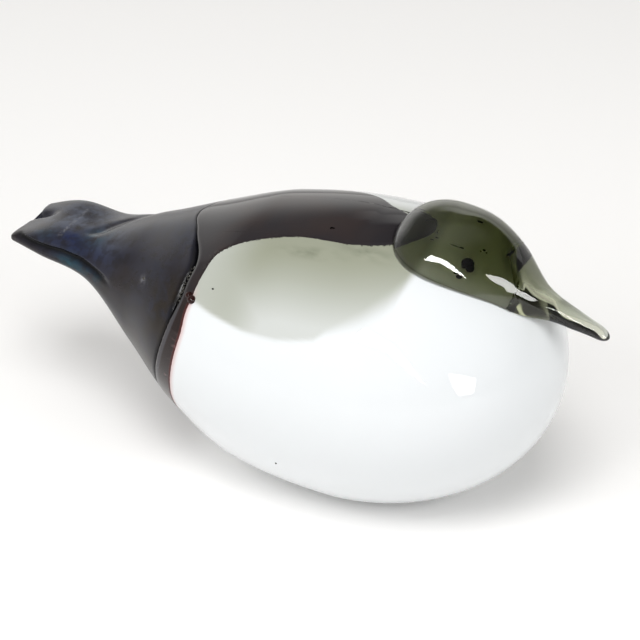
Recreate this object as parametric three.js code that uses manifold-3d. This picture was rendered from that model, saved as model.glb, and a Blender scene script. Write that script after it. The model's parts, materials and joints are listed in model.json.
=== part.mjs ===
// A hot-worked glass water bird: an opal white bubble for the body, a dark strip along the back,
// a dark lustred tail pinched into a fan, and a clear smoke-green head drawn out into the beak.
// Millimetres. +X runs towards the beak, +Z is up, and the origin is the centre of the flat foot.

import * as THREE from 'three';
import { mergeVertices } from 'three/addons/utils/BufferGeometryUtils.js';
import Module from 'manifold-3d';

const wasm = await Module();
wasm.setup();

// The bubble where it is fullest, and the breast in front of that place.
const FULLEST_AT = 10;
const BUBBLE_RADIUS = 61;
const BUBBLE_CENTRE = 56.8;
const BREAST_LENGTH = 78;
const BREAST_BLUNTNESS = 2.12;
const BREAST_RISE = 0.07;

// Cross-sections behind the fullest place, from the end of the tail fan forwards. A squareness
// of 2 is an ellipse, and 3 is the flattened section of the pinched fan.
const REAR_SECTIONS = [
  { x: -154, halfWidth: 15, halfHeight: 2.6, centre: 72.5, squareness: 3 },
  { x: -138, halfWidth: 19.5, halfHeight: 6.5, centre: 74, squareness: 3 },
  { x: -114, halfWidth: 20.5, halfHeight: 11, centre: 70.5, squareness: 2.6 },
  { x: -90, halfWidth: 30, halfHeight: 28, centre: 62.2, squareness: 2.2 },
  { x: -65, halfWidth: 45.5, halfHeight: 43, centre: 57.7, squareness: 2 },
  { x: -35, halfWidth: 57, halfHeight: 55.6, centre: 55.8, squareness: 2 },
  { x: FULLEST_AT, halfWidth: BUBBLE_RADIUS, halfHeight: BUBBLE_RADIUS, centre: BUBBLE_CENTRE, squareness: 2 },
];

// The fan: a dished top, a notch between two lobes, and the far lobe lifted a little. The dish
// and the lift die away between the last two places.
const FAN_END = -154;
const FAN_END_CROWN = 0.8;
const FAN_ROOT = -116;
const FAN_FADES_FROM = -136;
const FAN_FADES_TO = -104;
const FAN_DISH = 1.6;
const NOTCH_Y = 4;
const NOTCH_HALF_WIDTH = 3.2;
const NOTCH_DEPTH = 3.5;
const NOTCH_CREASE = 1.4;
const NOTCH_LENGTH = 14;
const FAR_LOBE_LIFT = 0.6;

// The edge of the tail's dark glass, where it laps round the bubble. It runs furthest forward
// on each shoulder. Angles are in degrees from the top of the back.
const SEAM_AT = -71;
const SEAM_SHOULDER_ANGLE = 45;
const SEAM_SPREAD_ABOVE = 28;
const SEAM_SPREAD_BELOW = 48;
const SEAM_NEAR_REACH = 16;
const SEAM_FAR_REACH = 13;
const SEAM_FACE_RADII = [18, 36, 90];

// The dark strip along the back, seen from above, and its thickness. Its glass also runs round
// the bubble in front of the tail as a narrow collar.
const STRIP_THICKNESS = 2.4;
const COLLAR_WIDTH = 6.5;
const STRIP_OUTLINE = [
  [-82, -46], [-56, -43], [-50, -33], [-38, -26], [-16, -21.5], [8, -21], [23, -17], [34, -8],
  [32, 0], [21, 4.5], [12, 10], [2, 17.5], [-10, 22], [-38, 25], [-54, 33], [-82, 42],
];

// The head: the middle of the gather and the beak that is drawn out of it.
const HEAD_BACK = 19.2;
const HEAD_ROUND = 25;
const HEAD_BLUNTNESS = 2.8;
const BEAK_TIP = 107.8;
const BEAK_TIP_ROUND = 4.5;
const HEAD_SECTIONS = [
  { x: HEAD_BACK, halfWidth: 25.5, halfHeight: 22.5, centre: 105.5 },
  { x: 42, halfWidth: 25, halfHeight: 23.4, centre: 104.4 },
  { x: 56, halfWidth: 21.2, halfHeight: 25.3, centre: 101 },
  { x: 69, halfWidth: 14, halfHeight: 20, centre: 98.8 },
  { x: 81, halfWidth: 6.6, halfHeight: 7.1, centre: 97.6 },
  { x: 95, halfWidth: 4, halfHeight: 3.8, centre: 93.6 },
  { x: BEAK_TIP, halfWidth: 2.6, halfHeight: 2.6, centre: 89.8 },
];

// The clearance between neighbouring pieces.
const GAP = 0.3;

// Blocks larger than the bird, for cutting: the ground under the foot and the strip's prism.
const GROUND_BLOCK = { length: 400, width: 200, depth: 40 };
const PRISM_HEIGHT = 90;
const WELL_BEHIND_FAN = 30;

// How finely the surfaces are divided.
const AROUND_BUBBLE = 48;
const AROUND_HEAD = 32;
const AROUND_SEAM = 48;
const AROUND_STRIP = 48;
const FAN_STEP = 4;
const REAR_STEP = 6.5;
const BREAST_STEPS = 13;
const HEAD_STEPS = 26;

const SECTION_KEYS = ['halfWidth', 'halfHeight', 'centre', 'squareness'];

// One smooth curve through each measure of a list of sections.
function sectionCurve(sections, keys, endingEnd) {
  const positions = sections.map((section) => section.x);
  const values = sections.flatMap((section) => keys.map((key) => section[key]));
  const curve = new THREE.CubicInterpolant(positions, values, keys.length, new Float32Array(keys.length));
  curve.DefaultSettings_ = { endingStart: THREE.ZeroCurvatureEnding, endingEnd };
  return (x) => {
    const result = curve.evaluate(x);
    return Object.fromEntries(keys.map((key, i) => [key, result[i]]));
  };
}

const rearSection = sectionCurve(REAR_SECTIONS, SECTION_KEYS, THREE.ZeroSlopeEnding);
const headSection = sectionCurve(HEAD_SECTIONS, SECTION_KEYS.slice(0, 3), THREE.ZeroCurvatureEnding);

function signedPower(value, power) {
  return Math.sign(value) * Math.abs(value) ** power;
}

function smoothStep(from, to, value) {
  return THREE.MathUtils.smoothstep(value, from, to);
}

function bump(distance, halfWidth) {
  return Math.exp(-((distance / halfWidth) ** 2));
}

// The bubble's cross-section at x, behind or in front of the fullest place.
function bubbleSection(x) {
  if (x <= FULLEST_AT) return rearSection(x);
  const along = Math.min((x - FULLEST_AT) / BREAST_LENGTH, 1);
  const radius = BUBBLE_RADIUS * Math.sqrt(1 - along ** 2) ** (2 / BREAST_BLUNTNESS);
  const centre = BUBBLE_CENTRE + BREAST_RISE * (x - FULLEST_AT);
  return { halfWidth: radius, halfHeight: radius, centre, squareness: 2 };
}

// A point of a cross-section, moved outwards by the offset.
function sectionPoint(x, section, angle, offset) {
  const power = 2 / (section.squareness ?? 2);
  const y = (section.halfWidth + offset) * signedPower(Math.cos(angle), power);
  const z = section.centre + (section.halfHeight + offset) * signedPower(Math.sin(angle), power);
  return new THREE.Vector3(x, y, z);
}

// Presses the dish, the notch and the lifted lobe into the fan.
function pinchFan(point, section) {
  const fan = 1 - smoothStep(FAN_FADES_FROM, FAN_FADES_TO, point.x);
  const atEnd = 1 - smoothStep(FAN_END, FAN_END + NOTCH_LENGTH, point.x);
  const onTop = smoothStep(-1, 1, (point.z - section.centre) / section.halfHeight);
  const across = point.y / section.halfWidth;
  const notch = bump(point.y - NOTCH_Y, NOTCH_HALF_WIDTH) * atEnd;
  const dish = FAN_DISH * fan * onTop * (1 - across ** 2);
  const lift = FAR_LOBE_LIFT * fan * smoothStep(0, 1, across);
  point.x += NOTCH_DEPTH * notch;
  point.z += lift - dish - NOTCH_CREASE * notch * onTop;
  return point;
}

// A closed skin over rings of points, with a point at each end.
function skin(rings, start, end) {
  const around = rings[0].length;
  const points = [start, ...rings.flat(), end];
  const last = points.length - 1;
  const index = [];
  for (let j = 0; j < around; j += 1) {
    const k = (j + 1) % around;
    index.push(0, 1 + k, 1 + j);
    for (let i = 0; i < rings.length - 1; i += 1) {
      const row = 1 + i * around;
      index.push(row + j, row + k, row + around + k);
      index.push(row + j, row + around + k, row + around + j);
    }
    const lastRow = 1 + (rings.length - 1) * around;
    index.push(lastRow + j, lastRow + k, last);
  }
  const geometry = new THREE.BufferGeometry().setFromPoints(points);
  geometry.setIndex(index);
  return geometry;
}

function solidOf(source) {
  let geometry = source.clone();
  geometry.deleteAttribute('normal');
  geometry.deleteAttribute('uv');
  geometry = mergeVertices(geometry);
  const vertProperties = new Float32Array(geometry.attributes.position.array);
  const triVerts = new Uint32Array(geometry.index.array);
  return new wasm.Manifold(new wasm.Mesh({ numProp: 3, vertProperties, triVerts }));
}

function geometryOf(solid) {
  const mesh = solid.getMesh();
  const geometry = new THREE.BufferGeometry();
  geometry.setAttribute('position', new THREE.BufferAttribute(mesh.vertProperties, 3));
  geometry.setIndex(new THREE.BufferAttribute(mesh.triVerts, 1));
  geometry.computeVertexNormals();
  return geometry;
}

function circleAngles(count) {
  return Array.from({ length: count }, (_, i) => (2 * Math.PI * i) / count);
}

function stations(from, to, step) {
  const count = Math.round((to - from) / step);
  return Array.from({ length: count }, (_, i) => from + ((to - from) * i) / count);
}

// The whole bubble with its tail fan, as one skin, moved outwards by the offset.
function bubbleSkin(offset) {
  const breast = Array.from({ length: BREAST_STEPS }, (_, i) => (
    FULLEST_AT + BREAST_LENGTH * Math.sin((Math.PI / 2) * (i / BREAST_STEPS))
  ));
  const places = [
    ...stations(FAN_END, FAN_ROOT, FAN_STEP),
    ...stations(FAN_ROOT, FULLEST_AT, REAR_STEP),
    ...breast,
  ];
  const rings = places.map((x) => {
    const section = bubbleSection(x);
    return circleAngles(AROUND_BUBBLE).map((angle) => pinchFan(sectionPoint(x, section, angle, offset), section));
  });
  const fanEnd = new THREE.Vector3(FAN_END - FAN_END_CROWN - offset, 0, bubbleSection(FAN_END).centre);
  const breastTip = FULLEST_AT + BREAST_LENGTH;
  const tip = new THREE.Vector3(breastTip + offset, 0, bubbleSection(breastTip).centre);
  return skin(rings, fanEnd, tip);
}

// Everything behind the edge of the tail's glass.
function behindSeam(forward) {
  const farBack = FAN_END - WELL_BEHIND_FAN;
  const [innermost, middle, outermost] = SEAM_FACE_RADII;
  const angles = circleAngles(AROUND_SEAM);
  const edgeAt = (angle) => {
    const belowShoulder = THREE.MathUtils.radToDeg(Math.acos(Math.sin(angle))) - SEAM_SHOULDER_ANGLE;
    const spread = belowShoulder > 0 ? SEAM_SPREAD_BELOW : SEAM_SPREAD_ABOVE;
    const reach = Math.cos(angle) < 0 ? SEAM_NEAR_REACH : SEAM_FAR_REACH;
    return SEAM_AT + reach * bump(belowShoulder, spread);
  };
  const ringAt = (radius, x) => angles.map((angle) => new THREE.Vector3(
    x(angle) + forward,
    radius * Math.cos(angle),
    BUBBLE_CENTRE + radius * Math.sin(angle),
  ));
  const face = [outermost, middle, innermost].map((radius) => ringAt(
    radius,
    (angle) => THREE.MathUtils.lerp(SEAM_AT, edgeAt(angle), smoothStep(0, middle, radius)),
  ));
  const rings = [ringAt(outermost, () => farBack), ...face];
  const backMiddle = new THREE.Vector3(farBack, 0, BUBBLE_CENTRE);
  const frontMiddle = new THREE.Vector3(SEAM_AT + forward, 0, BUBBLE_CENTRE);
  return skin(rings, backMiddle, frontMiddle);
}

// An upright prism over the strip's outline, grown by the given amount.
function stripPrism(grow) {
  const corners = STRIP_OUTLINE.map(([x, y]) => new THREE.Vector3(x, y, 0));
  const curve = new THREE.CatmullRomCurve3(corners, true, 'centripetal');
  const outline = Array.from({ length: AROUND_STRIP }, (_, i) => {
    const point = curve.getPointAt(i / AROUND_STRIP);
    const along = curve.getTangentAt(i / AROUND_STRIP);
    return new THREE.Vector2(point.x + along.y * grow, point.y - along.x * grow);
  });
  const prism = new THREE.ExtrudeGeometry(new THREE.Shape(outline), { depth: PRISM_HEIGHT, bevelEnabled: false });
  prism.translate(0, 0, BUBBLE_CENTRE);
  return prism;
}

// Everything below the flat ground under the foot.
function belowFoot() {
  const { length, width, depth } = GROUND_BLOCK;
  return new THREE.BoxGeometry(length, width, depth).translate(0, 0, -depth / 2);
}

// The head and beak before the bubble is taken out of them.
function headSkin() {
  const places = Array.from({ length: HEAD_STEPS }, (_, i) => {
    const along = (i + 0.5) / HEAD_STEPS;
    return THREE.MathUtils.lerp(HEAD_BACK, BEAK_TIP, (1 - Math.cos(Math.PI * along)) / 2);
  });
  const rings = places.map((x) => {
    const section = headSection(x);
    const intoBack = Math.max(0, 1 - (x - HEAD_BACK) / HEAD_ROUND);
    const intoTip = Math.max(0, 1 - (BEAK_TIP - x) / BEAK_TIP_ROUND);
    const back = (1 - intoBack ** HEAD_BLUNTNESS) ** (1 / HEAD_BLUNTNESS);
    const tip = Math.sqrt(1 - intoTip ** 2);
    section.halfWidth *= back * tip;
    section.halfHeight *= back * tip;
    return circleAngles(AROUND_HEAD).map((angle) => sectionPoint(x, section, angle, 0));
  });
  const start = new THREE.Vector3(HEAD_BACK, 0, headSection(HEAD_BACK).centre);
  const end = new THREE.Vector3(BEAK_TIP, 0, headSection(BEAK_TIP).centre);
  return skin(rings, start, end);
}

const bubble = solidOf(bubbleSkin(0)).subtract(solidOf(belowFoot()));
const tail = bubble.intersect(solidOf(behindSeam(0)));
const front = bubble.subtract(solidOf(behindSeam(GAP)));
const underStrip = solidOf(bubbleSkin(-STRIP_THICKNESS));
const underPocket = solidOf(bubbleSkin(-STRIP_THICKNESS - GAP));
const stripArea = solidOf(stripPrism(0)).add(solidOf(behindSeam(COLLAR_WIDTH)));
const pocketArea = solidOf(stripPrism(GAP)).add(solidOf(behindSeam(COLLAR_WIDTH + GAP)));
const strip = front.intersect(stripArea).subtract(underStrip);
const body = front.subtract(pocketArea.subtract(underPocket));
const head = solidOf(headSkin()).subtract(solidOf(bubbleSkin(GAP)));

// Each piece with the colour and surface of its glass.
const PIECES = [
  { name: 'body', solid: body, color: 0xf4f6f6, roughness: 0.08 },
  { name: 'back_band', solid: strip, color: 0x3a3334, roughness: 0.07 },
  { name: 'tail', solid: tail, color: 0x34343a, roughness: 0.12 },
  { name: 'head', solid: head, color: 0x6f7552, roughness: 0.03 },
];

const bird = new THREE.Group();
for (const { name, solid, color, roughness } of PIECES) {
  const material = new THREE.MeshStandardMaterial({ color, roughness, metalness: 0 });
  const mesh = new THREE.Mesh(geometryOf(solid), material);
  mesh.name = name;
  bird.add(mesh);
}

export default bird;
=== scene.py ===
# %% [markdown]
# # A glass bird, blown in four colours
#
# The real object is a hollow bird about a hand and a half long. A fat bubble of opal white glass is
# the body. A dark aubergine saddle lies over its back, a near-black tail with an oily metal sheen
# grows out of its rear, and a clear smoke-green head sits on its breast like a drop of syrup.
#
# Blown glass has no drawing behind it, only a few full, soft curves. So this lesson starts from
# curves too: a row of round sections for the bubble, one flat outline for the saddle, one line for
# the seam. Everything else, meshes and colours alike, is computed from them.

import json
import math

import bpy
import numpy as np
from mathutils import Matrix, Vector

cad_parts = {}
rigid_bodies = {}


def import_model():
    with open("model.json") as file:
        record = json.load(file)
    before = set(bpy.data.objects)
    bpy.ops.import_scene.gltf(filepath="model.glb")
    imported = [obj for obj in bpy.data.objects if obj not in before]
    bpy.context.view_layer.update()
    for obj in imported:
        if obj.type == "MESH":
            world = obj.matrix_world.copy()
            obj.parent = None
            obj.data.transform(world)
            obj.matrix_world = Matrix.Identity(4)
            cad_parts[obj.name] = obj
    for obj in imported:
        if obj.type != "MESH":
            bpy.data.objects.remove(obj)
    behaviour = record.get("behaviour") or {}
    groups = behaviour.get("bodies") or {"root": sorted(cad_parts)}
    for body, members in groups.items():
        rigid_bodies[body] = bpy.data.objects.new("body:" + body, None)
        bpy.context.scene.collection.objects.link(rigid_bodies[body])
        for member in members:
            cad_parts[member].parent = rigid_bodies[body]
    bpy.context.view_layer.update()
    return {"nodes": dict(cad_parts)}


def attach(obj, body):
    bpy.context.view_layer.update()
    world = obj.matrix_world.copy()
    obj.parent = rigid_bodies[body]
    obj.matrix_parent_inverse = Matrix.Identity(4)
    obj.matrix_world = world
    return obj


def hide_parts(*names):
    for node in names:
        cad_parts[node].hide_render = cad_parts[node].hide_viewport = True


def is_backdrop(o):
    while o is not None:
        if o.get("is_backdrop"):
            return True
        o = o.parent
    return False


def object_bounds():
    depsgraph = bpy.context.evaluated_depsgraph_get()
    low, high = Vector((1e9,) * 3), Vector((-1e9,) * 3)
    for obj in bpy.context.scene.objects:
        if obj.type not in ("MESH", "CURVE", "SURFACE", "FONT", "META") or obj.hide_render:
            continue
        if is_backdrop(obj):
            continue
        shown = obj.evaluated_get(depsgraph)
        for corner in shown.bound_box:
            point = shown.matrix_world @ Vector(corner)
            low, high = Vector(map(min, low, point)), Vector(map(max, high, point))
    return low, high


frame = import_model()
print("nodes in the model:", ", ".join(sorted(frame["nodes"])))

# %% [markdown]
# ## The bubble, section by section
#
# All lengths below are in millimetres: x runs from tail to beak, y from the near side to the far
# side and z upwards, from the middle of the flat foot.
#
# A glassblower swings and rolls the bubble, so each cross section is a rounded shape that changes
# slowly along the length. Five numbers give one section: where it is, its half width, its half
# height, the height of its middle, and how square it is (2 is an ellipse, more is boxier). The
# breast, in front of the fullest point, is half of a slightly blunted ball, and needs no table.

# %% Write down the sections
FULLEST_AT = 10.0
BUBBLE_RADIUS = 61.0
BUBBLE_CENTRE = 56.8
BREAST_LENGTH = 78.0
BREAST_TIP = FULLEST_AT + BREAST_LENGTH
BREAST_BLUNTNESS = 2.12
BREAST_RISE = 0.07
FAN_END = -154.0
REAR_SECTIONS = np.array([
    (FAN_END, 15.0, 2.6, 72.5, 3.0),
    (-138.0, 19.5, 6.5, 74.0, 3.0),
    (-114.0, 20.5, 11.0, 70.5, 2.6),
    (-90.0, 30.0, 28.0, 62.2, 2.2),
    (-65.0, 45.5, 43.0, 57.7, 2.0),
    (-35.0, 57.0, 55.6, 55.8, 2.0),
    (FULLEST_AT, BUBBLE_RADIUS, BUBBLE_RADIUS, BUBBLE_CENTRE, 2.0),
])
print("from the fan's end to the breast:", BREAST_TIP - FAN_END, "mm")

# %% [markdown]
# Between two sections the outline has to stay smooth, or the gloss would show a kink. A cubic
# curve through the numbers does that: at each section it leans the way its two neighbours lie.

# %% Draw a smooth curve through given values
def smooth_curve(stations, values, where, flat_end):
    """Values of a cubic through the given ones; flat_end makes it level at the last one."""
    slope = np.diff(values) / np.diff(stations)
    lean = np.empty(len(values))
    lean[1:-1] = (values[2:] - values[:-2]) / (stations[2:] - stations[:-2])
    lean[0] = 1.5 * slope[0] - 0.5 * lean[1]
    lean[-1] = 0.0 if flat_end else 1.5 * slope[-1] - 0.5 * lean[-2]
    i = np.clip(np.searchsorted(stations, where) - 1, 0, len(stations) - 2)
    span = stations[i + 1] - stations[i]
    s = (where - stations[i]) / span
    return (
        values[i] * (1 + 2 * s) * (1 - s) ** 2
        + lean[i] * span * s * (1 - s) ** 2
        + values[i + 1] * s * s * (3 - 2 * s)
        + lean[i + 1] * span * s * s * (s - 1)
    )


half_width_there = smooth_curve(REAR_SECTIONS[:, 0], REAR_SECTIONS[:, 1], np.array([-100.0]), True)
print("half width of the neck of the tail:", half_width_there.round(1), "mm")

# %% [markdown]
# A few small curves do the rest of the shaping. Hot glass has no sharp step anywhere: an edge laid
# on it slumps into a quarter circle, and two forms that meet run into each other. Where an outline
# turns fast, the rows of a mesh have to crowd, and the last curve says where they stand.

# %% Shape easy slopes and round edges
def smoothstep(start, end, value):
    """0 before start, 1 after end, and an easy slope between them."""
    s = np.clip((value - start) / (end - start), 0.0, 1.0)
    return s * s * (3 - 2 * s)


def signed_power(value, power):
    """A power that keeps the sign, for sections that are squarer than an ellipse."""
    return np.sign(value) * np.abs(value) ** power


def round_over(distance, radius):
    """A quarter circle: 0 at an edge, 1 once the distance from it reaches the radius."""
    return np.sqrt(1 - (1 - np.clip(distance / radius, 0, 1)) ** 2)


def soft_max(first, second, width):
    """The larger of two heights, with the corner between them rounded over a width."""
    return 0.5 * (first + second + np.sqrt((first - second) ** 2 + width**2))


def crowded(count, skip=0.0):
    """Shares from 0 to 1 that crowd towards both ends, leaving out a little of each if asked."""
    return 0.5 - 0.5 * np.cos(np.linspace(skip, np.pi - skip, count))


print("a rounded edge, halfway in, has risen to", round(float(round_over(0.5, 1.0)), 3))

# %% [markdown]
# With the sections and the curves in hand, one function can say where the glass is at any place
# along the bird and at any angle around it. Body, saddle, collar and tail all lie on this one
# skin, so they fit each other without any measuring.

# %% Work out the bubble at any place
def bubble_section(x):
    """Half width, half height, middle and squareness of the bubble at x."""
    behind = np.minimum(x, FULLEST_AT)
    half_width, half_height, centre, squareness = (
        smooth_curve(REAR_SECTIONS[:, 0], REAR_SECTIONS[:, k], behind, True) for k in range(1, 5)
    )
    along = np.clip((x - FULLEST_AT) / BREAST_LENGTH, 0.0, 1.0)
    breast = BUBBLE_RADIUS * np.sqrt(1 - along**2) ** (2 / BREAST_BLUNTNESS)
    front = x > FULLEST_AT
    return (
        np.where(front, breast, half_width),
        np.where(front, breast, half_height),
        np.where(front, BUBBLE_CENTRE + BREAST_RISE * (x - FULLEST_AT), centre),
        np.where(front, 2.0, squareness),
    )


def bubble_skin(x, around, lift=0.0):
    """Points on the bubble at x and at an angle around it, 0 on the far side and a quarter turn up."""
    half_width, half_height, centre, squareness = bubble_section(x)
    y = (half_width + lift) * signed_power(np.cos(around), 2 / squareness)
    z = centre + (half_height + lift) * signed_power(np.sin(around), 2 / squareness)
    return np.stack([x, y, z], axis=-1)


top_of_back = bubble_skin(np.array(FULLEST_AT), np.array(np.pi / 2))
print("top of the back:", top_of_back.round(1), "mm")

# %% [markdown]
# ## Where the colours meet
#
# Two bubbles were joined: the dark tail bubble was pressed onto the opal one and the joint melted
# shut. Their edges never run quite straight round the body, and here the tail reaches forward most
# at the shoulder, halfway up each side. A bell curve over the angle from the top gives that reach.

# %% Find the seam between tail and body
SEAM_AT = -71.0
SEAM_SHOULDER = 45.0
SEAM_SPREAD_ABOVE = 28.0
SEAM_SPREAD_BELOW = 48.0
SEAM_NEAR_REACH = 16.0
SEAM_FAR_REACH = 13.0
SEAM_BULGE = 1.5
BULGE_RISES = (95, 108)
BULGE_FALLS = (125, 138)
SEAM_ROUNDS = 12


def seam_at(y, z):
    """How far forward the tail reaches, at a point beside the axis."""
    out = np.hypot(y, z - BUBBLE_CENTRE) + 1e-9
    from_top = np.degrees(np.arccos(np.clip((z - BUBBLE_CENTRE) / out, -1, 1)))
    below = from_top - SEAM_SHOULDER
    spread = np.where(below > 0, SEAM_SPREAD_BELOW, SEAM_SPREAD_ABOVE)
    reach = np.where(y < 0, SEAM_NEAR_REACH, SEAM_FAR_REACH)
    return SEAM_AT + reach * np.exp(-((below / spread) ** 2))


def seam_on_skin(around):
    """x of the seam at an angle around the bubble, found by going there a few times."""
    x = np.full(np.shape(around), SEAM_AT)
    for _ in range(SEAM_ROUNDS):
        point = bubble_skin(x, around)
        x = seam_at(point[..., 1], point[..., 2])
    turn = np.degrees(around)
    return x + SEAM_BULGE * smoothstep(*BULGE_RISES, turn) * (1 - smoothstep(*BULGE_FALLS, turn))


whole_turn = np.linspace(0, 2 * np.pi, 90)
print("the tail reaches forward to x =", round(float(seam_on_skin(whole_turn).max()), 1))

# %% [markdown]
# The saddle was a flat puddle of dark glass laid on top while everything was soft. Its edge is
# given as a plan, seen from straight above. A centripetal curve runs through the points without
# overshooting at the tight bends near the front tip.

# %% Trace the edge of the saddle
SADDLE_PLAN = np.array([
    (-82, -46), (-56, -43), (-50, -33), (-38, -26), (-16, -21.5), (8, -21), (22.5, -17), (31, -9),
    (36, 0.5), (33, 6.5), (22, 5.5), (12, 10), (2, 17.5), (-10, 22), (-38, 25), (-54, 33), (-82, 42),
], dtype=float)
PLAN_STEPS = 24
WIDEST_ACROSS = 0.999


def centripetal_curve(points, steps):
    """A smooth curve that runs through the points, once round, as a list of points on it."""
    found = []
    count = len(points)
    for i in range(count):
        p0, p1, p2, p3 = (points[(i + k) % count] for k in (-1, 0, 1, 2))
        d0, d1, d2 = (math.sqrt(np.linalg.norm(b - a)) for a, b in ((p0, p1), (p1, p2), (p2, p3)))
        t1 = ((p1 - p0) / d0 - (p2 - p0) / (d0 + d1) + (p2 - p1) / d1) * d1
        t2 = ((p2 - p1) / d1 - (p3 - p1) / (d1 + d2) + (p3 - p2) / d2) * d1
        for s in np.arange(steps) / steps:
            found.append(
                p1 * (1 + 2 * s) * (1 - s) ** 2
                + t1 * s * (1 - s) ** 2
                + p2 * s * s * (3 - 2 * s)
                + t2 * s * s * (s - 1)
            )
    return np.array(found)


def saddle_edge():
    """Angle around the bubble and x of the saddle's edge, from the far side to the near side."""
    plan = centripetal_curve(SADDLE_PLAN, PLAN_STEPS)[:-PLAN_STEPS]
    half_width, _, _, squareness = bubble_section(plan[:, 0])
    across = plan[:, 1] / half_width
    on_bubble = np.abs(across) < WIDEST_ACROSS
    around = np.arccos(signed_power(across, squareness / 2)[on_bubble])
    ahead = plan[on_bubble, 0]
    order = np.argsort(around)
    return around[order], ahead[order]


EDGE_AROUND, EDGE_AHEAD = saddle_edge()
print("saddle edge from", np.degrees(EDGE_AROUND[[0, -1]]).round(1), "degrees")
print("tip of the saddle at x =", EDGE_AHEAD.max().round(1))

# %% [markdown]
# Below the saddle the dark glass goes on round the bubble as a narrow collar in front of the tail.
# It is a little wider low on the near side, where it sagged. Where saddle and collar meet, the
# corner is filled in, as liquid glass does by itself.

# %% Join the edges of saddle and collar
COLLAR_WIDTH = 6.5
COLLAR_SAG = 2.5
SAG_TURN = 0.35
COLLAR_EXTRA = 2.0
EXTRA_RISES = (148, 162)
EXTRA_FALLS = (208, 240)
FILLET_DEPTH = 2.0
FILLET_REACH = 8.0
NOWHERE = -999.0


def dark_reach(around):
    """x at which the dark glass ends and the opal begins, all the way round."""
    below = np.clip(-np.sin(around + SAG_TURN), 0, 1) * (np.cos(around) < 0)
    turn = np.degrees(around)
    wide = smoothstep(*EXTRA_RISES, turn) * (1 - smoothstep(*EXTRA_FALLS, turn))
    collar = seam_on_skin(around) + COLLAR_WIDTH + COLLAR_SAG * below + COLLAR_EXTRA * wide
    saddle = np.interp(around, EDGE_AROUND, EDGE_AHEAD, left=NOWHERE, right=NOWHERE)
    gap = np.clip(1 - np.abs(collar - saddle) / FILLET_REACH, 0, 1)
    return np.maximum(collar, saddle) + FILLET_DEPTH * gap**2


collar_width = dark_reach(whole_turn) - seam_on_skin(whole_turn)
print("the collar is", collar_width.min().round(1), "mm wide at its narrowest")

# %% [markdown]
# ## The shape of the head
#
# The head is one gather of clear glass, dropped on the breast and drawn out with tweezers into the
# beak. It is solid, and its sections are plain ellipses: where each is, half width, half height
# and height of the middle. Its back is blunt, the tip of the beak is a small round end.
#
# The head has to be known before the body is made, because the soft bubble gave way under it.

# %% Describe the head
HEAD_BACK = 19.2
HEAD_ROUND = 25.0
HEAD_BLUNTNESS = 2.8
BEAK_TIP = 107.8
BEAK_TIP_ROUND = 4.5
HEAD_SECTIONS = np.array([
    (HEAD_BACK, 25.5, 22.5, 105.5),
    (42.0, 25.0, 23.4, 104.4),
    (56.0, 21.2, 25.3, 101.0),
    (69.0, 14.0, 20.0, 98.8),
    (81.0, 6.4, 7.3, 97.4),
    (95.0, 3.9, 3.9, 93.5),
    (BEAK_TIP, 2.6, 2.6, 89.8),
])


def head_section(x):
    """Half width, half height and middle of the head at x, without its rounded ends."""
    return tuple(
        smooth_curve(HEAD_SECTIONS[:, 0], HEAD_SECTIONS[:, k], x, False) for k in range(1, 4)
    )


def head_end(x):
    """How much the head narrows at its blunt back and at the tip of the beak."""
    back = np.clip(1 - (x - HEAD_BACK) / HEAD_ROUND, 0, 1)
    blunt = (1 - back**HEAD_BLUNTNESS) ** (1 / HEAD_BLUNTNESS)
    return blunt * round_over(BEAK_TIP - x, BEAK_TIP_ROUND)


def head_skin(x, around):
    """Points on the whole head, also where it would sink into the body."""
    half_width, half_height, centre = head_section(x)
    narrow = head_end(x)
    y = narrow * half_width * np.cos(around)
    z = centre + narrow * half_height * np.sin(around)
    return np.stack([x, y, z], axis=-1)


print("head with beak:", round(BEAK_TIP - HEAD_BACK, 1), "mm long")

# %% [markdown]
# Where the two touch, the bubble is dented by a few millimetres. The dent ends where the throat
# lifts off the breast. That line isn't square to the bird but slants back on the far side, so
# past_joint counts forward along the slant.

# %% Dent the body under the head
DENT = 4.0
DENT_EDGE = (0.3, 4.5)
JOINT_ENDS = (69.2, 70.6)
JOINT_LEAN_FAR = 0.95
JOINT_LEAN_NEAR = 0.17
END_MARGIN = 0.1


def past_joint(points):
    """How far forward points lie, counted along the slanting end of the joint."""
    y = points[..., 1]
    return points[..., 0] + JOINT_LEAN_FAR * np.maximum(y, 0) + JOINT_LEAN_NEAR * np.minimum(y, 0)


def dent(points):
    """How far the soft bubble gave way under the hot head, at points on its skin."""
    x = np.clip(points[..., 0], HEAD_BACK + END_MARGIN, BEAK_TIP - END_MARGIN)
    half_width, half_height, centre = head_section(x)
    narrow = head_end(x)
    across = points[..., 1] / (narrow * half_width)
    upward = (points[..., 2] - centre) / (narrow * half_height)
    inside = (1 - np.hypot(across, upward)) * narrow * half_width
    behind = np.maximum(HEAD_BACK - points[..., 0], 0)
    held = 1 - smoothstep(*JOINT_ENDS, past_joint(points))
    return DENT * smoothstep(*DENT_EDGE, inside - behind) * held


under_head = bubble_skin(np.array(50.0), np.array(np.pi / 2))
print("dent under the middle of the head:", round(float(dent(under_head)), 2), "mm")

# %% [markdown]
# ## A few tools
#
# Blender makes an object in two steps: a mesh holds points and faces, an object puts it in the
# scene. Each point can carry named values as well, which the materials read later, so a stain
# needs no picture wrapped round the glass.

# %% Make an object from points
MM = 0.001


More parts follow.
